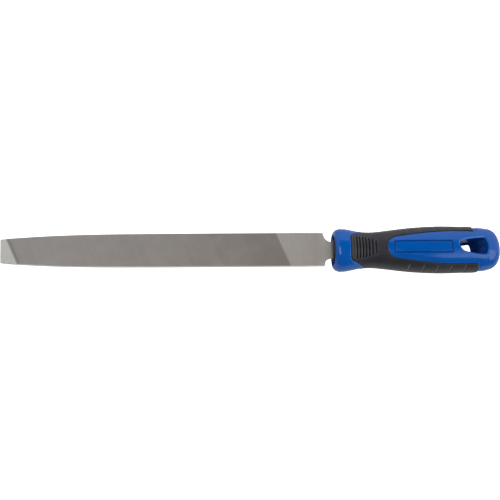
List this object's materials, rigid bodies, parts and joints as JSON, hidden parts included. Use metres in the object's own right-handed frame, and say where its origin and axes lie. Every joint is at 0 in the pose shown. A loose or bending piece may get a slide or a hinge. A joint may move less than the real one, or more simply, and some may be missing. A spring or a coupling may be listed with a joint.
{
  "type": "flat hand file",
  "caption": "Flat hand file: double-cut steel blade with uncut tip and heel, hollow shoulders and a waisted two-component handle with a through hanging hole.",
  "frame": {"origin": "centre of the tool's bounding box, on the handle's centre line and in the blade's middle plane", "axes": "+X along the tool from the blade's tip to the handle's butt, +Z out of a broad face of the blade, +Y across the blade"},
  "size_m": [0.3886, 0.0368, 0.0288],
  "materials": {
    "hardened_steel": "cut teeth, ground tip and heel",
    "blue_plastic": "semi-gloss moulded",
    "dark_elastomer": "satin moulded",
    "black_plastic": "matt moulded"
  },
  "bodies": {
    "root": {"file_blade": "hardened_steel", "handle_core": "blue_plastic", "soft_grip": "dark_elastomer", "tang_socket": "black_plastic"}
  },
  "joints": []
}
